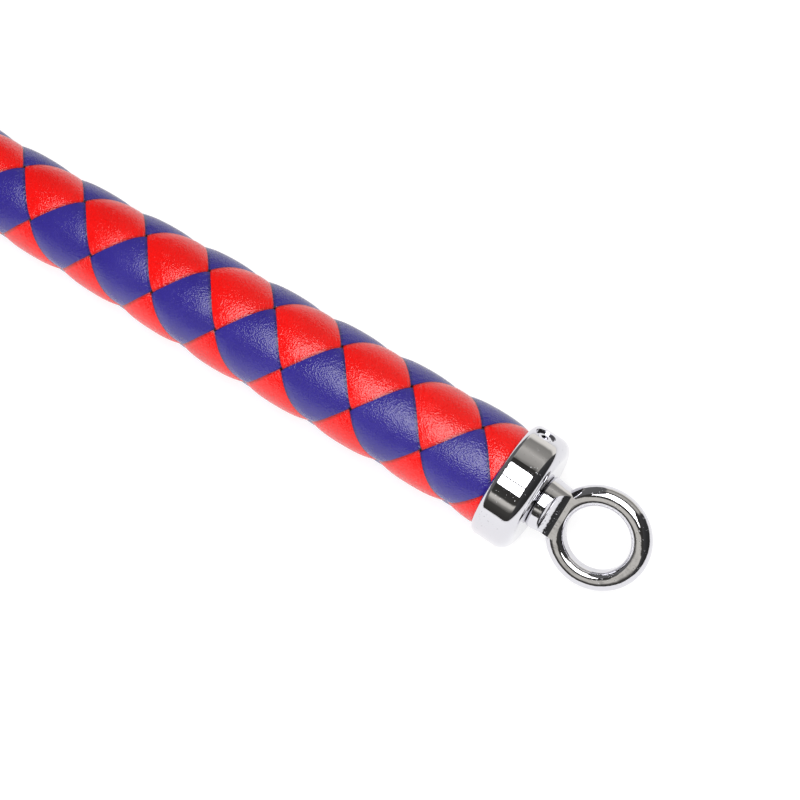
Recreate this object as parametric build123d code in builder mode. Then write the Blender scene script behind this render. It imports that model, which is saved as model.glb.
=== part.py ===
from build123d import *
import math
import os

# Braided barrier rope, laid out on a floor and folded once into a tied hank. Millimetres.
# +X runs along the rope's free end, towards its eye. +Z is up, and the floor is Z = 0.
# The origin is on the floor, under the middle of the whole outline.

os.makedirs("parts", exist_ok=True)

# Rope
ROPE_R = 19.0            # outside of the braid: 38 mm rope
CORE_R = 15.0            # filler core
COVER_GAP = 0.2          # between the core and the braid
SEAT_DEPTH = 11.0        # how far the rope goes into each end cap

# End cap, a turned and plated cup
CAP_R = 22.5
CAP_LENGTH = 15.4
CAP_BORE_R = 19.8
CAP_CAVITY = 13.0        # depth of the cup from its mouth
MOUTH_ROUND = 2.4        # outer edge at the mouth
SHOULDER_ROUND = 5.2     # outer edge at the closed end
CAVITY_ROUND = 2.0       # inner corner at the closed end
SHANK_HOLE_R = 4.06

# Set screw through the cap's side
SCREW_R = 2.5
SCREW_PLACE = 5.8        # from the cap's mouth
SCREW_RECESS_R = 3.8
SCREW_TOP_R = 21.5       # the screw's outer end, measured from the rope's axis
SCREW_LENGTH = 4.5
SCREW_SOCKET_FLATS = 2.5
SCREW_SOCKET_DEPTH = 2.0
SCREW_POINT = 0.9        # bevel of its inner end
SCREW_ANGLE = 44.0       # from straight up, towards +Y
SCREW_GAP = 0.05         # round the screw, in the cap's hole
POCKET_GAP = 0.1         # round the screw, in the rope and its binding

# Eye: ring, neck and threaded shank in one casting
EYE_GAP = 0.1            # between the collar and the cap's end face
RING_CENTRE = 39.7       # from the cap's mouth
RING_BORE_R = 11.9
RING_OUTER_R = 19.1
RING_THICKNESS = 7.6
RING_INNER_ROUND = 2.5
RING_OUTER_ROUND = 3.5
COLLAR_R = 10.2
COLLAR_LENGTH = 2.5      # full width before the waist
COLLAR_ROUND = 0.8
WAIST_R = 9.7
WAIST_PLACE = 21.6
NECK_END = 26.5
SCOOP_START = 19.0       # where each scoop leaves the collar
SCOOP_MIDDLE = (21.3, 6.1)
SCOOP_END = 24.6         # where it meets the ring's face
SHANK_R = 4.0
SHANK_END = 3.6
SHANK_CHAMFER = 0.6

# Nut and washer inside the cap
NUT_FLATS = 13.0
NUT_THICKNESS = 6.5
NUT_BORE_GAP = 0.03
WASHER_R = 8.0
WASHER_THICKNESS = 1.4
NUT_CHAMFER = 0.6
WASHER_GAP = 0.1         # to the cap's end wall
WASHER_BORE_GAP = 0.15

# End plug, turned wood, glued into the rope's end
PLUG_BACK = -16.0        # from the cap's mouth
PLUG_RECESS_R = 9.6
PLUG_RECESS_DEPTH = 9.2

# Whipping tape round the braid's end
BINDING_R = 19.6
BINDING_GAP = 0.05
BINDING_FROM = 1.5
BINDING_TO = 10.5

# Tie round the two legs of the hank
TIE_PLACE = 8.0          # X of its middle
TIE_WIDTH = 24.0
TIE_AXIS_Z = 21.6
TIE_LEG_Y = 23.2         # the legs lie this far each side of Y = 0
TIE_GAP = 0.9
TIE_THICKNESS = 1.5
BUCKLE_PLACE_Y = -8.0
BUCKLE_WIRE = 2.0
BUCKLE_LENGTH = 31.0
BUCKLE_BREADTH = 14.0
BUCKLE_ROUND = 3.0       # its four corners, seen from above
BUCKLE_GAP = 0.1
BUCKLE_EDGE_ROUND = 0.6

# Where each cap's mouth is, and how far its ring is turned about +X from lying flat
RIM_A = Vector(350, 34, CAP_R)
RIM_B = Vector(50, -23.4, CAP_R)
ENDS = {"a": (RIM_A, 40.2), "b": (RIM_B, -20.0)}

# The rope's centre line from cap A round the fold to cap B, corner by corner.
ROUTE = [
    (361, 34, 22.5),
    (322, 34, 22.5),
    (264, 30.1, 22.0),
    (172, 24.9, 19.2),
    (85, 20.6, 19.0),
    (8, 22.7, 22.0),
    (-51, 25.8, 19.8),
    (-116, 52, 19),
    (-166, 101, 19),
    (-231, 127, 19),
    (-299, 127, 19),
    (-358, 93, 19),
    (-389.8, 34, 19),
    (-389.8, -34, 19),
    (-358, -93, 19),
    (-299, -127, 19),
    (-231, -127, 19),
    (-166, -101, 19),
    (-116, -52, 19),
    (-51, -26, 19.8),
    (-6, -23.2, 21.8),
    (28, -23.4, 22.5),
    (61, -23.4, 22.5),
]


def finish(piece, label):
    piece.part.label = label
    export_step(piece.part, f"parts/{label}.step")


def profile_plane(rim):
    """Local x runs along the rope's axis from the cap's mouth, local y is the radius."""
    return Plane(origin=rim, x_dir=(1, 0, 0), z_dir=(0, -1, 0))


def mouth_plane(rim, offset=0.0):
    """Faces +X, with its origin on the rope's axis."""
    return Plane(origin=rim + Vector(offset, 0, 0), x_dir=(0, 1, 0), z_dir=(1, 0, 0))


def ring_normal(turn):
    angle = math.radians(turn)
    return Vector(0, -math.sin(angle), math.cos(angle))


def screw_plane(rim, radius):
    """Faces outward along the set screw, this far from the rope's axis."""
    angle = math.radians(SCREW_ANGLE)
    outward = Vector(0, math.sin(angle), math.cos(angle))
    origin = rim + Vector(SCREW_PLACE, 0, 0) + outward * radius
    return Plane(origin=origin, x_dir=(1, 0, 0), z_dir=outward)


def corner_radii(points):
    """The largest bend that each corner's two runs leave room for."""
    places = [Vector(*point) for point in points]
    radii = []
    for before, corner, after in zip(places, places[1:], places[2:]):
        arriving = corner - before
        leaving = after - corner
        half_turn = math.radians(arriving.get_angle(leaving)) / 2
        radii.append(0.45 * min(arriving.length, leaving.length) / math.tan(half_turn))
    return radii


def rope_tube(route, outer_radius, inner_radius=None):
    """The rope's section carried along straight runs joined by tangent arcs."""
    with BuildPart() as tube:
        with BuildLine() as line:
            FilletPolyline(*route, radius=corner_radii(route))
        centre_line = line.wire()
        with BuildSketch(Plane(origin=centre_line @ 0, z_dir=centre_line % 0)):
            Circle(outer_radius)
            if inner_radius:
                Circle(inner_radius, mode=Mode.SUBTRACT)
        sweep(path=centre_line)
    return tube, centre_line.length


def cut_along_screw(rim, from_radius, to_radius, radius):
    """Cuts a round hole inward along the set screw's axis, in the part being built."""
    with BuildSketch(screw_plane(rim, from_radius)) as hole:
        Circle(radius)
    extrude(hole.sketch, amount=to_radius - from_radius, mode=Mode.SUBTRACT)


# The rope: filler core and braided cover
print("bend radii", [round(radius) for radius in corner_radii(ROUTE)])
plug_back_a = (RIM_A.X + PLUG_BACK, RIM_A.Y, CAP_R)
plug_back_b = (RIM_B.X + PLUG_BACK, RIM_B.Y, CAP_R)

rope_core, core_length = rope_tube([plug_back_a] + ROUTE[1:-1] + [plug_back_b], CORE_R)
finish(rope_core, "rope_core")

cover_tube, cover_length = rope_tube(ROUTE, ROPE_R, CORE_R + COVER_GAP)
with BuildPart() as braided_cover:
    add(cover_tube.part)
    for rim, _ in ENDS.values():
        cut_along_screw(rim, ROPE_R + 1, SCREW_TOP_R - SCREW_LENGTH - POCKET_GAP, SCREW_R + POCKET_GAP)
finish(braided_cover, "braided_cover")

section = math.pi * (ROPE_R ** 2 - (CORE_R + COVER_GAP) ** 2)
print("cover length", round(cover_length), "volume", round(cover_tube.part.volume))
print("section times length", round(section * cover_length))

for suffix, (rim, turn) in ENDS.items():
    axis = Axis(rim, (1, 0, 0))
    normal = ring_normal(turn)

    # End cap: a cup, rounded at its mouth and shoulder
    with BuildPart() as end_cap:
        with BuildSketch(profile_plane(rim)):
            with BuildLine():
                FilletPolyline(
                    (0, CAP_BORE_R),
                    (0, CAP_R),
                    (CAP_LENGTH, CAP_R),
                    (CAP_LENGTH, SHANK_HOLE_R),
                    (CAP_CAVITY, SHANK_HOLE_R),
                    (CAP_CAVITY, CAP_BORE_R),
                    radius=[0, MOUTH_ROUND, SHOULDER_ROUND, 0, 0, CAVITY_ROUND],
                    close=True,
                )
            make_face()
        revolve(axis=axis)
        cut_along_screw(rim, CAP_R + 1, SCREW_TOP_R - POCKET_GAP, SCREW_RECESS_R)
        cut_along_screw(rim, CAP_R + 1, CAP_BORE_R - 1, SCREW_R + SCREW_GAP)
    finish(end_cap, f"end_cap_{suffix}")

    # Set screw: headless, with a hexagon socket and a bevelled point
    with BuildPart() as set_screw:
        with BuildSketch(screw_plane(rim, SCREW_TOP_R)):
            Circle(SCREW_R)
        extrude(amount=-SCREW_LENGTH)
        point = set_screw.edges().filter_by(GeomType.CIRCLE).sort_by_distance(rim)[0]
        chamfer(point, SCREW_POINT)
        with BuildSketch(screw_plane(rim, SCREW_TOP_R)):
            RegularPolygon(SCREW_SOCKET_FLATS / 2, 6, major_radius=False)
        extrude(amount=-SCREW_SOCKET_DEPTH, mode=Mode.SUBTRACT)
    finish(set_screw, f"set_screw_{suffix}")

    # Eye: a turned shank and neck, scooped down on two sides to a ring of rounded section
    collar_face = CAP_LENGTH + EYE_GAP
    half_thickness = RING_THICKNESS / 2
    section_plane = Plane(origin=rim, x_dir=(1, 0, 0), z_dir=normal.cross(Vector(1, 0, 0)))
    with BuildPart() as eye:
        with BuildSketch(profile_plane(rim)):
            with BuildLine():
                FilletPolyline(
                    (NECK_END, WAIST_R),
                    (NECK_END, 0),
                    (SHANK_END, 0),
                    (SHANK_END, SHANK_R - SHANK_CHAMFER),
                    (SHANK_END + SHANK_CHAMFER, SHANK_R),
                    (collar_face, SHANK_R),
                    (collar_face, COLLAR_R),
                    (COLLAR_LENGTH + collar_face, COLLAR_R),
                    radius=[0, 0, 0, 0, 0, COLLAR_ROUND],
                )
                ThreePointArc(
                    (COLLAR_LENGTH + collar_face, COLLAR_R),
                    (WAIST_PLACE, WAIST_R),
                    (NECK_END, WAIST_R),
                )
            make_face()
        revolve(axis=axis)
        for side in (1, -1):
            with BuildSketch(section_plane):
                with BuildLine():
                    ThreePointArc(
                        (SCOOP_START, side * COLLAR_R),
                        (SCOOP_MIDDLE[0], side * SCOOP_MIDDLE[1]),
                        (SCOOP_END, side * half_thickness),
                    )
                    Polyline(
                        (SCOOP_END, side * half_thickness),
                        (NECK_END + 1, side * half_thickness),
                        (NECK_END + 1, side * (COLLAR_R + 1)),
                        (SCOOP_START, side * (COLLAR_R + 1)),
                        (SCOOP_START, side * COLLAR_R),
                    )
                make_face()
            extrude(amount=COLLAR_R + 1, both=True, mode=Mode.SUBTRACT)
        with BuildSketch(section_plane):
            with BuildLine():
                FilletPolyline(
                    (RING_CENTRE + RING_BORE_R, -half_thickness),
                    (RING_CENTRE + RING_OUTER_R, -half_thickness),
                    (RING_CENTRE + RING_OUTER_R, half_thickness),
                    (RING_CENTRE + RING_BORE_R, half_thickness),
                    radius=[RING_INNER_ROUND, RING_OUTER_ROUND, RING_OUTER_ROUND, RING_INNER_ROUND],
                    close=True,
                )
            make_face()
        revolve(axis=Axis(rim + Vector(RING_CENTRE, 0, 0), normal))
    finish(eye, f"eye_{suffix}")

    # Washer and lock nut on the shank, inside the cap
    washer_start = CAP_CAVITY - WASHER_GAP - WASHER_THICKNESS
    with BuildPart() as thrust_washer:
        with BuildSketch(mouth_plane(rim, washer_start)):
            Circle(WASHER_R)
            Circle(SHANK_R + WASHER_BORE_GAP, mode=Mode.SUBTRACT)
        extrude(amount=WASHER_THICKNESS)
    finish(thrust_washer, f"thrust_washer_{suffix}")

    with BuildPart() as lock_nut:
        with BuildSketch(mouth_plane(rim, washer_start - NUT_THICKNESS)):
            RegularPolygon(NUT_FLATS / 2, 6, major_radius=False)
            Circle(SHANK_R + NUT_BORE_GAP, mode=Mode.SUBTRACT)
        extrude(amount=NUT_THICKNESS)
        outer_corners = lock_nut.edges().filter_by(Axis.X)
        chamfer(outer_corners, NUT_CHAMFER)
    finish(lock_nut, f"lock_nut_{suffix}")

    # End plug, recessed to clear the nut
    with BuildPart() as end_plug:
        with BuildSketch(mouth_plane(rim, PLUG_BACK)):
            Circle(CORE_R)
        extrude(amount=SEAT_DEPTH - PLUG_BACK)
        with BuildSketch(mouth_plane(rim, SEAT_DEPTH)):
            Circle(PLUG_RECESS_R)
        extrude(amount=-PLUG_RECESS_DEPTH, mode=Mode.SUBTRACT)
    finish(end_plug, f"end_plug_{suffix}")

    # Whipping tape round the braid's end, pierced by the set screw
    with BuildPart() as end_binding:
        with BuildSketch(mouth_plane(rim, BINDING_FROM)):
            Circle(BINDING_R)
            Circle(ROPE_R + BINDING_GAP, mode=Mode.SUBTRACT)
        extrude(amount=BINDING_TO - BINDING_FROM)
        cut_along_screw(rim, CAP_R, ROPE_R - 1, SCREW_R + POCKET_GAP)
    finish(end_binding, f"end_binding_{suffix}")

# Tie strap: a flat band round both legs of the hank
tie_plane = Plane(origin=(TIE_PLACE - TIE_WIDTH / 2, 0, TIE_AXIS_Z), x_dir=(0, 1, 0), z_dir=(1, 0, 0))
tie_inner_r = ROPE_R + TIE_GAP
tie_outer_r = tie_inner_r + TIE_THICKNESS
with BuildPart() as tie_strap:
    with BuildSketch(tie_plane):
        SlotCenterToCenter(2 * TIE_LEG_Y, 2 * tie_outer_r)
        SlotCenterToCenter(2 * TIE_LEG_Y, 2 * tie_inner_r, mode=Mode.SUBTRACT)
    extrude(amount=TIE_WIDTH)
finish(tie_strap, "tie_strap")

# Tie buckle: a flat rectangular loop lying on the strap
buckle_z = TIE_AXIS_Z + tie_outer_r + BUCKLE_GAP
with BuildPart() as tie_buckle:
    with BuildSketch(Plane(origin=(TIE_PLACE, BUCKLE_PLACE_Y, buckle_z))):
        RectangleRounded(BUCKLE_LENGTH, BUCKLE_BREADTH, BUCKLE_ROUND)
        Rectangle(BUCKLE_LENGTH - 2 * BUCKLE_WIRE, BUCKLE_BREADTH - 2 * BUCKLE_WIRE, mode=Mode.SUBTRACT)
    extrude(amount=BUCKLE_WIRE)
    top_and_bottom = tie_buckle.faces().filter_by(Axis.Z)
    fillet(top_and_bottom.edges(), BUCKLE_EDGE_ROUND)
finish(tie_buckle, "tie_buckle")
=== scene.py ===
"""The braided barrier rope: the camera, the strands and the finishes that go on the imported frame."""
import math

import bpy
import numpy as np
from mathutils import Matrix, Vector


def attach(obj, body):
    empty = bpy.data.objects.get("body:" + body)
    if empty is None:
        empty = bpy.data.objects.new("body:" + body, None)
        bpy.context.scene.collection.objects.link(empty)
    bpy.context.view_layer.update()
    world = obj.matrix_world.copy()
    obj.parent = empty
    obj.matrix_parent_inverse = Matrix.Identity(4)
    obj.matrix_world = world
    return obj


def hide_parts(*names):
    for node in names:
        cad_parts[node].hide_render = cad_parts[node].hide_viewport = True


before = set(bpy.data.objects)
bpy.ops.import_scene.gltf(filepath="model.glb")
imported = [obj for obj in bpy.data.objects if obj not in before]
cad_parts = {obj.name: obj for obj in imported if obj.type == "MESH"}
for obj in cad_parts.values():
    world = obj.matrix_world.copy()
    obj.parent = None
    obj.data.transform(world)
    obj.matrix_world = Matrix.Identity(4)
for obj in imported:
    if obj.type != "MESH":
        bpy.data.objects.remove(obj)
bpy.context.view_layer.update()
scene = bpy.context.scene
scene.view_settings.view_transform = "Standard"


def aim(holder, direction):
    """Point a camera or a light along a direction."""
    holder.rotation_mode = "QUATERNION"
    holder.rotation_quaternion = direction.to_track_quat("-Z", "Y")


# ---------------------------------------------------------------- camera
CAMERA_PLACE = (0.4190, -0.1275, 0.4923)
CAMERA_AZIMUTH = math.radians(35.35)
CAMERA_ELEVATION = math.radians(66.81)
LENS_MM = 63.0
SENSOR_MM = 36.0

camera_data = bpy.data.cameras.new("camera")
camera_data.lens = LENS_MM
camera_data.sensor_width = SENSOR_MM
camera = bpy.data.objects.new("camera", camera_data)
camera.location = CAMERA_PLACE
aim(camera, Vector((
    -math.sin(CAMERA_AZIMUTH) * math.cos(CAMERA_ELEVATION),
    math.cos(CAMERA_AZIMUTH) * math.cos(CAMERA_ELEVATION),
    -math.sin(CAMERA_ELEVATION),
)))
scene.collection.objects.link(camera)
scene.camera = camera

# ---------------------------------------------------------------- rope route
# From the near cap along the first leg, round the fold and back along the second leg to the far cap
ROUTE = [
    (0.361, 0.0342, 0.0225), (0.336, 0.0334, 0.0225), (0.264, 0.0293, 0.0220),
    (0.172, 0.0256, 0.0186), (0.085, 0.0206, 0.0184), (0.008, 0.0227, 0.0220),
    (-0.051, 0.0258, 0.0192), (-0.116, 0.052, 0.0182), (-0.166, 0.101, 0.0182),
    (-0.231, 0.127, 0.0182), (-0.299, 0.127, 0.0182), (-0.358, 0.093, 0.0182),
    (-0.3898, 0.034, 0.0182), (-0.3898, -0.034, 0.0182), (-0.358, -0.093, 0.0182),
    (-0.299, -0.127, 0.0182), (-0.231, -0.127, 0.0182), (-0.166, -0.101, 0.0182),
    (-0.116, -0.052, 0.0182), (-0.051, -0.026, 0.0192), (-0.006, -0.0232, 0.0218),
    (0.028, -0.0234, 0.0225), (0.061, -0.0234, 0.0225),
]
STEPS_PER_SPAN = 24
SEAT_DEPTH = 0.011


def read_route():
    """The rope's centreline as points, read from a NURBS spline that has the route as its control points."""
    curve = bpy.data.curves.new("rope_route", "CURVE")
    curve.dimensions = "3D"
    curve.resolution_u = STEPS_PER_SPAN
    spline = curve.splines.new("NURBS")
    spline.points.add(len(ROUTE) - 1)
    for point, place in zip(spline.points, ROUTE):
        point.co = (*place, 1.0)
    spline.order_u = 3
    spline.use_endpoint_u = True
    holder = bpy.data.objects.new("rope_route", curve)
    read = bpy.data.meshes.new_from_object(holder)
    points = np.array([tuple(v.co) for v in read.vertices])
    bpy.data.objects.remove(holder)
    bpy.data.meshes.remove(read)
    return points


def distances(points):
    """How far along a line of points each of them lies."""
    steps = np.linalg.norm(np.diff(points, axis=0), axis=1)
    return np.concatenate([[0.0], np.cumsum(steps)])


def between(place, places, values):
    """Vectors given at some places along a line, read at others."""
    return np.stack([np.interp(place, places, column) for column in values.T], axis=1)


def unit(vectors):
    return vectors / np.linalg.norm(vectors, axis=1, keepdims=True)


line = read_route()
line_place = distances(line)
line_ahead = np.gradient(line, line_place, axis=0)
ROPE_LENGTH = float(line_place[-1])


def rings_along_route(place, radius, angle):
    """Points round the centreline at distances from its start, by radius and by angle from straight up."""
    point = between(place, line_place, line)
    ahead = unit(between(place, line_place, line_ahead))
    side = unit(np.cross([0.0, 0.0, 1.0], ahead))
    up = np.cross(ahead, side)
    return (
        point[:, None, :]
        + (radius * np.cos(angle))[..., None] * up[:, None, :]
        + (radius * np.sin(angle))[..., None] * side[:, None, :]
    )


# ---------------------------------------------------------------- mesh helpers
def new_object(name, vertices, faces, uv=None):
    mesh = bpy.data.meshes.new(name)
    mesh.from_pydata([tuple(v) for v in vertices], [], [tuple(f) for f in faces])
    if uv is not None:
        layer = mesh.uv_layers.new(name="strap")
        loops = np.empty(len(mesh.loops), dtype=np.int32)
        mesh.loops.foreach_get("vertex_index", loops)
        layer.data.foreach_set("uv", np.asarray(uv, dtype=np.float32)[loops].ravel())
    mesh.polygons.foreach_set("use_smooth", [True] * len(mesh.polygons))
    mesh.update()
    piece = bpy.data.objects.new(name, mesh)
    scene.collection.objects.link(piece)
    return piece


def skin(index, turned=False, mirrored=False, joined=False):
    """
    Outward quads over a grid of point numbers whose rows each run round a section, and a face at each end.
    turned: the section runs the other way round. mirrored: the quads are cut along their other diagonal.
    joined: the last row meets the first, so there are no ends.
    """
    if turned:
        index = index[:, ::-1]
    ends = [] if joined else [index[0], index[-1][::-1]]
    if joined:
        index = np.concatenate([index, index[:1]])
    after = np.roll(index, -1, axis=1)
    quads = np.stack([index[:-1], index[1:], after[1:], after[:-1]], axis=-1).reshape(-1, 4)
    if turned != mirrored:
        quads = np.roll(quads, -1, axis=1)
    return [*quads, *ends]


def on_rope(piece, finish, replaced=None):
    """A piece of the rope's own body, with its finish and the node that it stands for."""
    piece.data.materials.append(finish)
    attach(piece, "rope")
    if replaced:
        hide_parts(replaced)
    return piece


# ---------------------------------------------------------------- materials
class Nodes:
    """A node tree, with short ways to add and join its nodes."""

    def __init__(self, tree):
        self.tree = tree

    def node(self, kind, inputs=(), **settings):
        made = self.tree.nodes.new(kind)
        for key, value in settings.items():
            setattr(made, key, value)
        for key, value in dict(inputs).items():
            self.join(value, made.inputs[key])
        return made

    def join(self, value, socket):
        if isinstance(value, bpy.types.Node):
            value = value.outputs[0]
        if isinstance(value, bpy.types.NodeSocket):
            self.tree.links.new(value, socket)
        else:
            socket.default_value = value

    def math(self, operation, *values):
        return self.node("ShaderNodeMath", dict(enumerate(values)), operation=operation)

    def ramp(self, value, low, high, to_low=0.0, to_high=1.0):
        return self.node("ShaderNodeMapRange", {0: value, 1: low, 2: high, 3: to_low, 4: to_high}, clamp=True)

    def mix(self, amount, first, second):
        return self.node("ShaderNodeMix", {0: amount, 6: first, 7: second}, data_type="RGBA").outputs[2]


class Shader(Nodes):
    """A material round one Principled BSDF. Patterns are laid on in metres, in the piece's own space."""

    def __init__(self, name, base, roughness, metallic=0.0, **sockets):
        self.material = bpy.data.materials.new(name)
        self.material.use_nodes = True
        super().__init__(self.material.node_tree)
        self.surface = self.tree.nodes["Principled BSDF"]
        self.set("Base Color", (*base, 1.0))
        self.set("Roughness", roughness)
        self.set("Metallic", metallic)
        for key, value in sockets.items():
            self.set(key.replace("_", " "), value)

    def set(self, name, value):
        self.join(value, self.surface.inputs[name])

    def place(self, scale=(1, 1, 1)):
        where = self.node("ShaderNodeTexCoord").outputs["Object"]
        return self.node("ShaderNodeMapping", {0: where, "Scale": scale}).outputs[0]

    def strap(self):
        """The two coordinates along and across a strap, together and apart."""
        both = self.node("ShaderNodeUVMap", uv_map="strap").outputs[0]
        apart = self.node("ShaderNodeSeparateXYZ", {0: both})
        return both, apart.outputs[0], apart.outputs[1]

    def noise(self, scale, detail=2.0, vector=None, rough=0.5):
        return self.node("ShaderNodeTexNoise", {
            "Vector": vector or self.place(), "Scale": scale, "Detail": detail, "Roughness": rough,
        }).outputs["Fac"]

    def darken(self, colour, amount, part, dark):
        return self.mix(self.math("MULTIPLY", amount, part), colour, (*dark, 1))

    def bump(self, height, distance, under=None):
        made = self.node("ShaderNodeBump", {"Height": height, "Distance": distance})
        if under is not None:
            self.join(under, made.inputs["Normal"])
        return made.outputs[0]


# Where nearly all of a noise's values lie
NOISE_RANGE = (0.3, 0.7)

# Leather. Along a strap, 0 is the middle of a tile and 0.5 is where it dives under the next strap.
# Across it, the edges are at 0.5. Each pair says where a feature begins and where it is full
DIVE = (0.22, 0.54)
# GAP, EDGE and the CORNER pair below place painted shade: where a strap dives under the next one, along its
# rolled edges and at the junctions
GAP = (0.468, 0.53)
EDGE = (0.468, 0.490)
SIDE = (0.18, 0.46)
CORNER_ALONG, CORNER_ACROSS = (0.45, 0.50), (0.455, 0.49)
LEATHER_IOR = 1.50
LEATHER_ROUGHNESS = (0.16, 0.25)
PEBBLES_PER_METRE, GRAINS_PER_METRE, SWELLS_PER_METRE = 1850.0, 1900.0, 150.0
SHADES_PER_METRE, GLOSS_PER_METRE = 55.0, 1300.0
PUCKER_STRETCH = (2.1, 13.0, 1.0)
PUCKERS_IN_MIDDLE = 0.3
SWELL_HEIGHT, PUCKER_HEIGHT, PEBBLE_HEIGHT, GRAIN_HEIGHT = 0.00010, 0.0009, 0.00014, 0.00005
PALE_PATCHES = (0.35, 0.68)
# How far the pebble grain darkens the colour, and how far the painted shade darkens it along the edges, at the
# dives and at the junctions
PEBBLE_SHADE, EDGE_PAINTED_SHADE, GAP_PAINTED_SHADE, CORNER_PAINTED_SHADE = 0.25, 0.85, 0.8, 0.9
# The colour of the painted shade in the pinholes where four tiles meet
JUNCTION_SHADE_COLOUR = (0.002, 0.001, 0.001)


def leather(name, base, grain_and_shade_colour, pale):
    """Coated leather cloth: a fine pebble grain, soft puckers where a strap dives, and painted shade along the
    rolled edges, where a strap dives under the next one and in the pinholes at the junctions.
    """
    m = Shader(name, base, LEATHER_ROUGHNESS[1], IOR=LEATHER_IOR)
    strap, along, across = m.strap()
    cycle = m.math("PINGPONG", along, 1.0)
    off_middle = m.math("ABSOLUTE", across)
    corner = m.math("MULTIPLY", m.ramp(cycle, *CORNER_ALONG), m.ramp(off_middle, *CORNER_ACROSS))
    pebble = m.node(
        "ShaderNodeTexVoronoi", {"Vector": m.place(), "Scale": PEBBLES_PER_METRE, "Smoothness": 0.7},
        feature="SMOOTH_F1",
    ).outputs["Distance"]
    lines = m.node("ShaderNodeMapping", {0: strap, "Scale": PUCKER_STRETCH}).outputs[0]
    pucker = m.math("MULTIPLY", m.noise(1.0, 3.0, lines, 0.6), m.ramp(cycle, *DIVE))
    pucker = m.math("MULTIPLY", pucker, m.math("ADD", m.ramp(off_middle, *SIDE), PUCKERS_IN_MIDDLE))
    normal = m.bump(m.noise(SWELLS_PER_METRE), SWELL_HEIGHT)
    normal = m.bump(pucker, PUCKER_HEIGHT, normal)
    normal = m.bump(pebble, PEBBLE_HEIGHT, normal)
    m.set("Normal", m.bump(m.noise(GRAINS_PER_METRE), GRAIN_HEIGHT, normal))
    colour = m.mix(m.ramp(m.noise(SHADES_PER_METRE, 3.0), *PALE_PATCHES), (*base, 1), (*pale, 1))
    colour = m.darken(colour, pebble, PEBBLE_SHADE, grain_and_shade_colour)
    # Painted shade: darker along the rolled edges and where a strap dives under the next one
    colour = m.darken(colour, m.ramp(off_middle, *EDGE), EDGE_PAINTED_SHADE, grain_and_shade_colour)
    colour = m.darken(colour, m.ramp(cycle, *GAP), GAP_PAINTED_SHADE, grain_and_shade_colour)
    # Painted shade: near-black in the pinholes where four tiles meet
    m.set("Base Color", m.darken(colour, corner, CORNER_PAINTED_SHADE, JUNCTION_SHADE_COLOUR))
    m.set("Roughness", m.ramp(m.noise(GLOSS_PER_METRE), *NOISE_RANGE, *LEATHER_ROUGHNESS))
    return m.material


# Plating
WAVES_PER_METRE, RIPPLES_PER_METRE = 95.0, 420.0
PITS_PER_METRE, PIT_PATCHES_PER_METRE = 1500.0, 120.0
PITS_BELOW, PIT_PATCHES = (0.24, 0.30), (0.42, 0.62)
PIT_SHADE, PIT_DARKNESS = 0.6, 0.3
HAZE_PER_METRE, HAZE = 260.0, (0.35, 0.75)
HAZE_LEAST, HAZE_MOST = 0.7, 1.9


def plated(name, base, rough, pit_depth, wave_height, ripple_height):
    """Bright plating on a casting: faint waves, a soft haze and small pits."""
    m = Shader(name, base, rough, 1.0)
    pit = m.ramp(m.noise(PITS_PER_METRE, 1.0), *PITS_BELOW, 1.0, 0.0)
    pit = m.math("MULTIPLY", pit, m.ramp(m.noise(PIT_PATCHES_PER_METRE, 1.0), *PIT_PATCHES))
    normal = m.bump(m.noise(WAVES_PER_METRE), wave_height)
    normal = m.bump(m.noise(RIPPLES_PER_METRE), ripple_height, normal)
    m.set("Normal", m.bump(m.math("MULTIPLY", pit, -1.0), pit_depth, normal))
    m.set("Roughness", m.ramp(m.noise(HAZE_PER_METRE, 3.0), *HAZE, rough * HAZE_LEAST, rough * HAZE_MOST))
    m.set("Base Color", m.darken((*base, 1), pit, PIT_SHADE, [part * PIT_DARKNESS for part in base]))
    return m.material


def speckled(name, base, other, rough, scale, depth, stretch=(1, 1, 1), metallic=0.0):
    """A simple finish with two tones and a bump, for the small parts."""
    m = Shader(name, base, rough, metallic)
    pattern = m.noise(scale, 4.0, m.place(stretch))
    m.set("Base Color", m.mix(m.ramp(pattern, *NOISE_RANGE), (*base, 1), (*other, 1)))
    m.set("Roughness", m.ramp(pattern, *NOISE_RANGE, rough * 0.85, rough * 1.15))
    m.set("Normal", m.bump(pattern, depth))
    return m.material


# Webbing
WEFT_PITCH, WARP_PITCH = 0.0014, 0.0030
RIB_RISE, RIB_RANGE = 1.4, (0.2, 2.2)
FUZZ_PER_METRE, FUZZ_HEIGHT, RIB_HEIGHT = 2500.0, 0.0001, 0.00012
WEBBING_ROUGHNESS = (0.52, 0.72)


def woven(name, dark, light):
    """Woven webbing: warp ribs along the strap, crossed by the weft, a little paler on the ribs."""
    m = Shader(name, dark, WEBBING_ROUGHNESS[1], Sheen_Weight=0.3, Sheen_Roughness=0.4)
    _, along, across = m.strap()
    row = m.math("MULTIPLY", along, 2 * math.pi / WEFT_PITCH)
    rib = m.math("SINE", m.math("MULTIPLY", across, 2 * math.pi / WARP_PITCH))
    shifted = m.math("ADD", row, m.math("MULTIPLY", m.math("SIGN", rib), math.pi / 2))
    height = m.math("MULTIPLY", m.math("ABSOLUTE", rib), m.math("ADD", m.math("SINE", shifted), RIB_RISE))
    fuzz = m.noise(FUZZ_PER_METRE, 3.0)
    m.set("Base Color", m.mix(m.ramp(height, *RIB_RANGE), (*dark, 1), (*light, 1)))
    m.set("Normal", m.bump(fuzz, FUZZ_HEIGHT, m.bump(height, RIB_HEIGHT)))
    m.set("Roughness", m.ramp(fuzz, *NOISE_RANGE, *WEBBING_ROUGHNESS))
    return m.material


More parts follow.
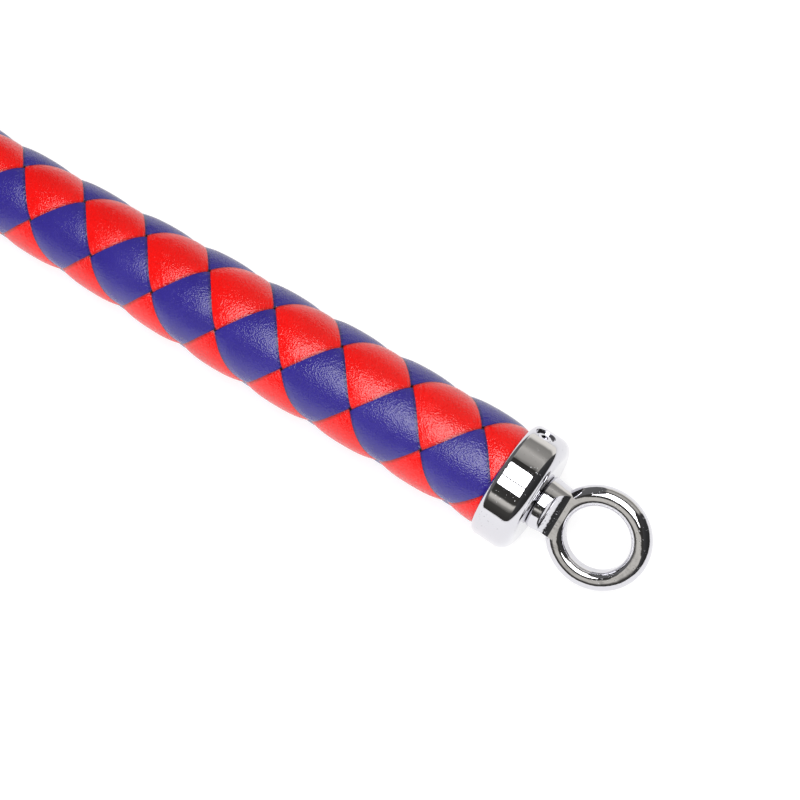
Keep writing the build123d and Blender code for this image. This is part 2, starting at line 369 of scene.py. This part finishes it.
PLATING = (0.66, 0.655, 0.69)
red_leather = leather("red_leather", (0.84, 0.002, 0.001), (0.10, 0.001, 0.001), (0.92, 0.003, 0.002))
blue_leather = leather("blue_leather", (0.028, 0.018, 0.235), (0.004, 0.003, 0.03), (0.036, 0.025, 0.265))
chrome = plated("chrome", PLATING, 0.035, pit_depth=0.00004, wave_height=0.00010, ripple_height=0.000006)
cast_chrome = plated(
    "cast_chrome", PLATING, 0.045, pit_depth=0.00006, wave_height=0.00022, ripple_height=0.00004,
)
webbing = woven("tie_webbing", (0.018, 0.018, 0.020), (0.045, 0.045, 0.048))
# Two tones, roughness, specks per metre, their height and how far they are stretched
steel = speckled("steel", (0.50, 0.50, 0.51), (0.40, 0.40, 0.41), 0.28, 900.0, 0.00002, metallic=1.0)
thread = speckled("tie_thread", (0.05, 0.05, 0.055), (0.10, 0.10, 0.11), 0.6, 1500.0, 0.00008, (1, 0.2, 1))
nylon = speckled("nylon", (0.78, 0.77, 0.72), (0.70, 0.69, 0.64), 0.45, 300.0, 0.00003)
yarn = speckled("core_yarn", (0.62, 0.58, 0.48), (0.45, 0.41, 0.32), 0.85, 500.0, 0.0002, (0.2, 1, 1))
wood = speckled("plug_wood", (0.50, 0.32, 0.17), (0.36, 0.21, 0.10), 0.6, 240.0, 0.0001, (0.15, 1, 1))
tape = speckled("binding_tape", (0.02, 0.02, 0.02), (0.035, 0.035, 0.035), 0.5, 800.0, 0.00005)

# ---------------------------------------------------------------- braid
# Three straps wind each way, and a column's tiles repeat once a period
STRAPS_EACH_WAY = 3
PERIOD = 0.02929
TURN_PER_PERIOD = math.radians(360.0 / STRAPS_EACH_WAY)
FIRST_COLUMN = math.radians(-18.3)
VERTEX_PAST_SEAT = 0.0132
STEP = 0.001
# The middle radius of the weave, and how far a strap goes above and below it
WEAVE_RADIUS = 0.0172
WEAVE_HEIGHT = 0.0008
SHARPNESS = 1.5
# A strap's section. STRAP_SPAN is the room for it across, in metres, and STRAP_WIDTH the part that it fills
STRAP_SPAN = 0.0235
STRAP_WIDTH = 0.988
EDGE_HALF = 0.00045
DOME, DOME_POWER = 0.00095, 2.6
UNDER_DOME = 0.0004
TOP_POINTS, EDGE_POINTS, UNDER_POINTS = 27, 6, 8
# The core inside the straps
CORE_RADIUS = 0.0138
CORE_INSET = 0.001
CORE_STEP, CORE_SIDES = 0.006, 32
# The braid's thickness: full near the caps, slim further on, and squeezed inside the caps
FULL_GAUGE, SLIM_GAUGE, CAP_GAUGE = 1.025, 0.938, 0.97
GAUGE_FROM, GAUGE_TO = 0.12, 0.212
FAR_END_SLIMS_SOONER = 0.10
CAP_FROM, CAP_TO = 0.008, 0.014


def weave(x):
    """1 where a strap is on top, -1 where it is underneath."""
    return np.tanh(SHARPNESS * np.cos(np.pi * x)) / math.tanh(SHARPNESS)


def smooth_step(value, low, high):
    part = np.clip((value - low) / (high - low), 0.0, 1.0)
    return part * part * (3 - 2 * part)


def gauge(place):
    """The braid is a little fuller near its end caps than along its middle, and squeezed inside them."""
    to_far_end = ROPE_LENGTH - place
    slim = smooth_step(np.minimum(place, to_far_end + FAR_END_SLIMS_SOONER), GAUGE_FROM, GAUGE_TO)
    held = 1.0 - smooth_step(np.minimum(place, to_far_end), CAP_FROM, CAP_TO)
    free = FULL_GAUGE + (SLIM_GAUGE - FULL_GAUGE) * slim
    return free + (CAP_GAUGE - free) * held


def strap_section():
    """One closed loop round a strap's section: place across in strap widths, height in metres."""
    edge = EDGE_HALF / STRAP_SPAN
    flat = STRAP_WIDTH / 2 - edge
    across = np.sin(np.linspace(-math.pi / 2, math.pi / 2, TOP_POINTS)) * flat
    top = EDGE_HALF + DOME * (1 - np.abs(across / flat) ** DOME_POWER)
    turn = np.linspace(math.pi / 2, -math.pi / 2, EDGE_POINTS)[1:-1]
    right_y, right_h = flat + edge * np.cos(turn), EDGE_HALF * np.sin(turn)
    back = np.linspace(flat, -flat, UNDER_POINTS)
    below = -EDGE_HALF - UNDER_DOME * (1 - (back / flat) ** 2)
    left_y, left_h = -right_y[::-1], right_h[::-1]
    return np.concatenate([across, right_y, back, left_y]), np.concatenate([top, right_h, below, left_h])


def strand(name, number, hand):
    """One strap of the braid. hand is -1 for the red set and 1 for the blue set, which cross."""
    y, height = strap_section()
    place = np.linspace(0.0, ROPE_LENGTH, int(ROPE_LENGTH / STEP) + 1)
    first = SEAT_DEPTH + VERTEX_PAST_SEAT + (PERIOD / 2 if hand < 0 else 0.0)
    column = FIRST_COLUMN + (0.0 if hand < 0 else TURN_PER_PERIOD / 2)
    run = (place - first)[:, None] / PERIOD
    angle = column + TURN_PER_PERIOD * (number + y[None, :] + hand * run)
    phase = y[None, :] + 2 * hand * run
    radius = (WEAVE_RADIUS + WEAVE_HEIGHT * weave(phase) + height[None, :]) * gauge(place)[:, None]
    where = rings_along_route(place, radius, angle)
    index = np.arange(phase.size).reshape(phase.shape)
    uv = np.stack([phase.ravel(), np.broadcast_to(y, phase.shape).ravel()], axis=1)
    return new_object(name, where.reshape(-1, 3), skin(index, mirrored=hand < 0), uv)


def round_bar(name, radius, first, last):
    """A plain round body along the rope's centreline, closed at both ends."""
    place = np.linspace(first, last, int((last - first) / CORE_STEP) + 1)
    angle = np.linspace(0.0, 2 * math.pi, CORE_SIDES, endpoint=False)[None, :]
    where = rings_along_route(place, radius, angle)
    index = np.arange(len(place) * CORE_SIDES).reshape(-1, CORE_SIDES)
    return new_object(name, where.reshape(-1, 3), skin(index))


core = round_bar("core_bundle", CORE_RADIUS, CORE_INSET, ROPE_LENGTH - CORE_INSET)
on_rope(core, yarn, "rope_core")
strands = [
    on_rope(strand(f"{colour}_strand_{number + 1}", number, hand), finish, "braided_cover")
    for colour, hand, finish in (("red", -1, red_leather), ("blue", 1, blue_leather))
    for number in range(STRAPS_EACH_WAY)
]

# ---------------------------------------------------------------- tie strap
# The band runs round both legs at TIE_X: two round ends about the legs, joined by straights above and below
TIE_X = 0.008
TIE_Z = 0.0216
TIE_LEG_Y = 0.0232
TIE_HALF_WIDTH = 0.0119
TIE_INNER = 0.0199
TIE_OUTER = 0.0214
TIE_TOP = TIE_Z + TIE_OUTER
BUCKLE_Y = -0.008
BUCKLE_BAR_Y = 0.006
BUCKLE_TOP = TIE_TOP + 0.0021
TAIL_HALF = 0.0006
BEND_POINTS, STRAIGHT_POINTS = 60, 40
# A strap's section: full thickness only at the selvedges, which are ridges near its edges
SECTION_POINTS = 33
BODY_THICKNESS = 0.86
SELVEDGE_AT, SELVEDGE_WIDTH = 0.9, 0.05
EDGE_ROUNDING = 14
CORNER_CUTS = 4


def ribbon(name, path, half_width, half_thickness, joined=False):
    """A flat strap along a path of (y, z) points, with thicker selvedges and rounded edges."""
    path = np.asarray(path, dtype=float)
    ahead = unit(np.roll(path, -1, axis=0) - np.roll(path, 1, axis=0) if joined else np.gradient(path, axis=0))
    out = np.stack([-ahead[:, 1], ahead[:, 0]], axis=1)
    x = np.sin(np.linspace(-math.pi / 2, math.pi / 2, SECTION_POINTS))
    ridge = np.exp(-((np.abs(x) - SELVEDGE_AT) / SELVEDGE_WIDTH) ** 2)
    thick = (1 - np.abs(x) ** EDGE_ROUNDING) * (BODY_THICKNESS + (1 - BODY_THICKNESS) * ridge)
    across = np.concatenate([x, x[::-1][1:-1]]) * half_width
    height = np.concatenate([thick, -thick[::-1][1:-1]]) * half_thickness
    where = np.zeros((len(path), len(across), 3))
    where[..., 0] = TIE_X + across[None, :]
    where[..., 1:] = path[:, None, :] + height[None, :, None] * out[:, None, :]
    shape = where.shape[:2]
    index = np.arange(where[..., 0].size).reshape(shape)
    along = np.broadcast_to(distances(path)[:, None], shape)
    uv = np.stack([along.ravel(), np.broadcast_to(across, shape).ravel()], axis=1)
    piece = new_object(name, where.reshape(-1, 3), skin(index, turned=True, joined=joined), uv)
    return on_rope(piece, webbing, "tie_strap" if joined else None)


def smooth_path(corners, count):
    """Points along a smooth curve that passes near given corners."""
    corners = np.asarray(corners, dtype=float)
    for _ in range(CORNER_CUTS):
        cut = np.empty((2 * len(corners) - 2, 2))
        cut[0::2] = corners[:-1] * 0.75 + corners[1:] * 0.25
        cut[1::2] = corners[:-1] * 0.25 + corners[1:] * 0.75
        corners = np.concatenate([corners[:1], cut, corners[-1:]])
    place = distances(corners)
    return between(np.linspace(0.0, place[-1], count), place, corners)


def on_loop(angle, radius, side):
    """A point on the loop's round end: angle from straight up, towards the outside."""
    return side * (TIE_LEG_Y + radius * math.sin(angle)), TIE_Z + radius * math.cos(angle)


STITCH_LENGTH, STITCH_BREADTH, STITCH_HEIGHT = 0.0021, 0.0007, 0.0005
STITCH_RINGS, STITCH_SIDES = 7, 8
STITCHES_IN_ROW, ROW_HALF = 8, 0.0095
ROW_ANGLES = (0.22, 0.48)


def stitch_row(name, angle):
    """A row of stitches across the folded end, at an angle on the loop, each a rounded bead of thread."""
    y, z = on_loop(angle, TIE_OUTER + 2 * TAIL_HALF, -1)
    vertices, faces = [], []
    for x_place in TIE_X + np.linspace(-ROW_HALF, ROW_HALF, STITCHES_IN_ROW):
        index = len(vertices) + np.arange(STITCH_RINGS * STITCH_SIDES).reshape(STITCH_RINGS, STITCH_SIDES)
        for ring in range(STITCH_RINGS):
            part = (ring + 0.5) / STITCH_RINGS
            bulge = math.sin(math.pi * part) ** 0.5
            for side in range(STITCH_SIDES):
                turn = 2 * math.pi * side / STITCH_SIDES
                dy = STITCH_BREADTH / 2 * bulge * math.cos(turn)
                dz = STITCH_HEIGHT / 2 * bulge * math.sin(turn)
                vertices.append((
                    x_place + STITCH_LENGTH * (part - 0.5),
                    y + dy * math.cos(angle) - dz * math.sin(angle),
                    z + dy * math.sin(angle) + dz * math.cos(angle),
                ))
        faces += skin(index, turned=True)
    return on_rope(new_object(name, vertices, faces), thread)


middle = (TIE_INNER + TIE_OUTER) / 2
half_turn = np.linspace(0.0, math.pi, BEND_POINTS)
straight = np.linspace(-1.0, 1.0, STRAIGHT_POINTS + 2)[1:-1]
loop = [on_loop(a, middle, 1) for a in half_turn[::-1]]
loop += [(-TIE_LEG_Y * v, TIE_Z + middle) for v in straight]
loop += [on_loop(a, middle, -1) for a in half_turn]
loop += [(TIE_LEG_Y * v, TIE_Z - middle) for v in straight]
ribbon("tie_band", loop, TIE_HALF_WIDTH, (TIE_OUTER - TIE_INNER) / 2, joined=True)

# The tail goes over the buckle's inner bar and lies back along the band
TAIL_Z = TIE_TOP + TAIL_HALF
TAIL_RADIUS = TIE_OUTER + TAIL_HALF
tail = smooth_path([
    (BUCKLE_Y - 0.0035, TAIL_Z), (BUCKLE_Y + 0.0015, TAIL_Z), (BUCKLE_Y + 0.0035, BUCKLE_TOP + 0.0002),
    (BUCKLE_Y + BUCKLE_BAR_Y, BUCKLE_TOP + 0.0012), (BUCKLE_Y + 0.0090, BUCKLE_TOP - 0.0002),
    (0.0065, TAIL_Z), (0.016, TAIL_Z), (TIE_LEG_Y, TAIL_Z),
    on_loop(0.35, TAIL_RADIUS, 1), on_loop(0.72, TAIL_RADIUS, 1),
], 90)
ribbon("tie_tail", tail, TIE_HALF_WIDTH * 0.97, TAIL_HALF)

# The fixed end goes over the outer bar and is sewn down
fold = smooth_path([
    (BUCKLE_Y - 0.0022, TAIL_Z), (BUCKLE_Y - 0.0033, BUCKLE_TOP + 0.0002),
    (BUCKLE_Y - BUCKLE_BAR_Y, BUCKLE_TOP + 0.0012), (BUCKLE_Y - 0.0092, BUCKLE_TOP - 0.0002),
    (-0.0205, TAIL_Z), (-TIE_LEG_Y, TAIL_Z),
    on_loop(0.30, TAIL_RADIUS, -1), on_loop(0.62, TAIL_RADIUS, -1),
], 70)
ribbon("tie_fold", fold, TIE_HALF_WIDTH * 0.98, TAIL_HALF)
for number, row_angle in enumerate(ROW_ANGLES):
    stitch_row(f"tie_stitches_{number + 1}", row_angle)

# ---------------------------------------------------------------- finishes of the frame's own nodes
NODE_FINISH = {
    "end_cap_a": chrome, "end_cap_b": chrome, "set_screw_a": chrome, "set_screw_b": chrome,
    "eye_a": cast_chrome, "eye_b": cast_chrome, "thrust_washer_a": nylon, "thrust_washer_b": nylon,
    "lock_nut_a": steel, "lock_nut_b": steel, "end_plug_a": wood, "end_plug_b": wood,
    "end_binding_a": tape, "end_binding_b": tape, "tie_buckle": steel,
}
for name, finish in NODE_FINISH.items():
    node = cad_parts[name]
    node.data.materials.clear()
    node.data.materials.append(finish)

# ---------------------------------------------------------------- floor
FLOOR_HALF = 25.0
FLOOR_TONES = (0.33, 0.33, 0.335, 1), (0.35, 0.35, 0.355, 1)
FLOOR_GLOW = 0.75
floor_corners = [(x * FLOOR_HALF, y * FLOOR_HALF, 0) for x, y in ((-1, -1), (1, -1), (1, 1), (-1, 1))]
floor = new_object("floor", floor_corners, [(0, 1, 2, 3)])
paper = Shader(
    "floor", FLOOR_TONES[0][:3], 0.9, Emission_Color=(1.0, 1.0, 1.0, 1.0), Emission_Strength=FLOOR_GLOW,
)
paper.set("Base Color", paper.mix(paper.noise(3.0), *FLOOR_TONES))
floor.data.materials.append(paper.material)

# ---------------------------------------------------------------- studio
# What the chrome sees: brightness by the angle from straight overhead, in degrees, positive towards -Y
STUDIO = [
    (-180, 0.80), (-92, 0.80), (-79, 0.74), (-72, 0.22), (-56, 0.27), (-45, 0.46), (-34, 0.36), (-26, 0.31),
    (-22, 0.035), (-11, 0.03), (35, 0.03), (54, 0.045), (57, 0.58), (62, 0.52), (66, 0.24), (72, 0.05),
    (90, 0.03), (112, 0.05), (114, 0.80), (180, 0.80),
]
WALL = (1.36, 1.32, 1.20)
# The ends of the studio, towards -X and +X: where they begin and how bright each one is
ENDS_FROM, ENDS_TO = 0.44, 0.50
END_LEVELS = (0.17, 0.03)
# The backdrop that only the camera sees
BACKDROP = (0.93, 0.93, 0.93, 1.0)

scene.world = bpy.data.worlds.new("studio")
scene.world.use_nodes = True
room = Nodes(scene.world.node_tree)
toward = room.node("ShaderNodeSeparateXYZ", {0: room.node("ShaderNodeTexCoord").outputs["Generated"]})
toward_x, toward_y, toward_z = toward.outputs
angle = room.math("ARCTAN2", room.math("MULTIPLY", toward_y, -1.0), toward_z)
bands = room.node("ShaderNodeValToRGB", {0: room.ramp(angle, -math.pi, math.pi)})
stops = bands.color_ramp.elements
stops.remove(stops[-1])
for degrees, level in STUDIO:
    stop = stops[0] if degrees == -180 else stops.new(degrees / 360 + 0.5)
    stop.color = (*(level * part for part in WALL), 1.0)
end_part = room.ramp(room.math("ABSOLUTE", toward_x), ENDS_FROM, ENDS_TO)
walls = room.mix(end_part, bands, room.ramp(toward_x, -1.0, 1.0, *END_LEVELS))
ray = room.node("ShaderNodeLightPath").outputs["Is Camera Ray"]
room.join(room.mix(ray, walls, BACKDROP), room.tree.nodes["Background"].inputs["Color"])


# ---------------------------------------------------------------- lights
LIT = (0.34, 0.034, 0.02)
PANEL_HEIGHT = 1.2
PANEL_LENGTH = 0.85
PANEL_RADIANCE = 6.6


def softbox(name, place, target, size, radiance, glossy=True):
    """A rectangular soft light that the camera doesn't see."""
    data = bpy.data.lights.new(name, "AREA")
    data.shape = "RECTANGLE"
    data.size, data.size_y = size
    data.energy = radiance * math.pi * size[0] * size[1]
    light = bpy.data.objects.new(name, data)
    light.location = place
    aim(light, Vector(target) - Vector(place))
    light.visible_camera = False
    light.visible_glossy = glossy
    scene.collection.objects.link(light)


def overhead(name, degrees, breadth):
    """One panel of the overhead light, so many degrees from straight up towards -Y."""
    tilt = math.radians(degrees)
    place = (LIT[0], LIT[1] - PANEL_HEIGHT * math.sin(tilt), LIT[2] + PANEL_HEIGHT * math.cos(tilt))
    softbox(name, place, LIT, (PANEL_LENGTH, breadth), PANEL_RADIANCE)


overhead("overhead_back", 3.2, 0.54)
overhead("overhead_front", 26.8, 0.36)
softbox(
    "low_fill", place=(0.10, -1.10, 0.45), target=(0.30, 0.03, 0.02), size=(0.9, 0.5), radiance=3.2,
    glossy=False,
)
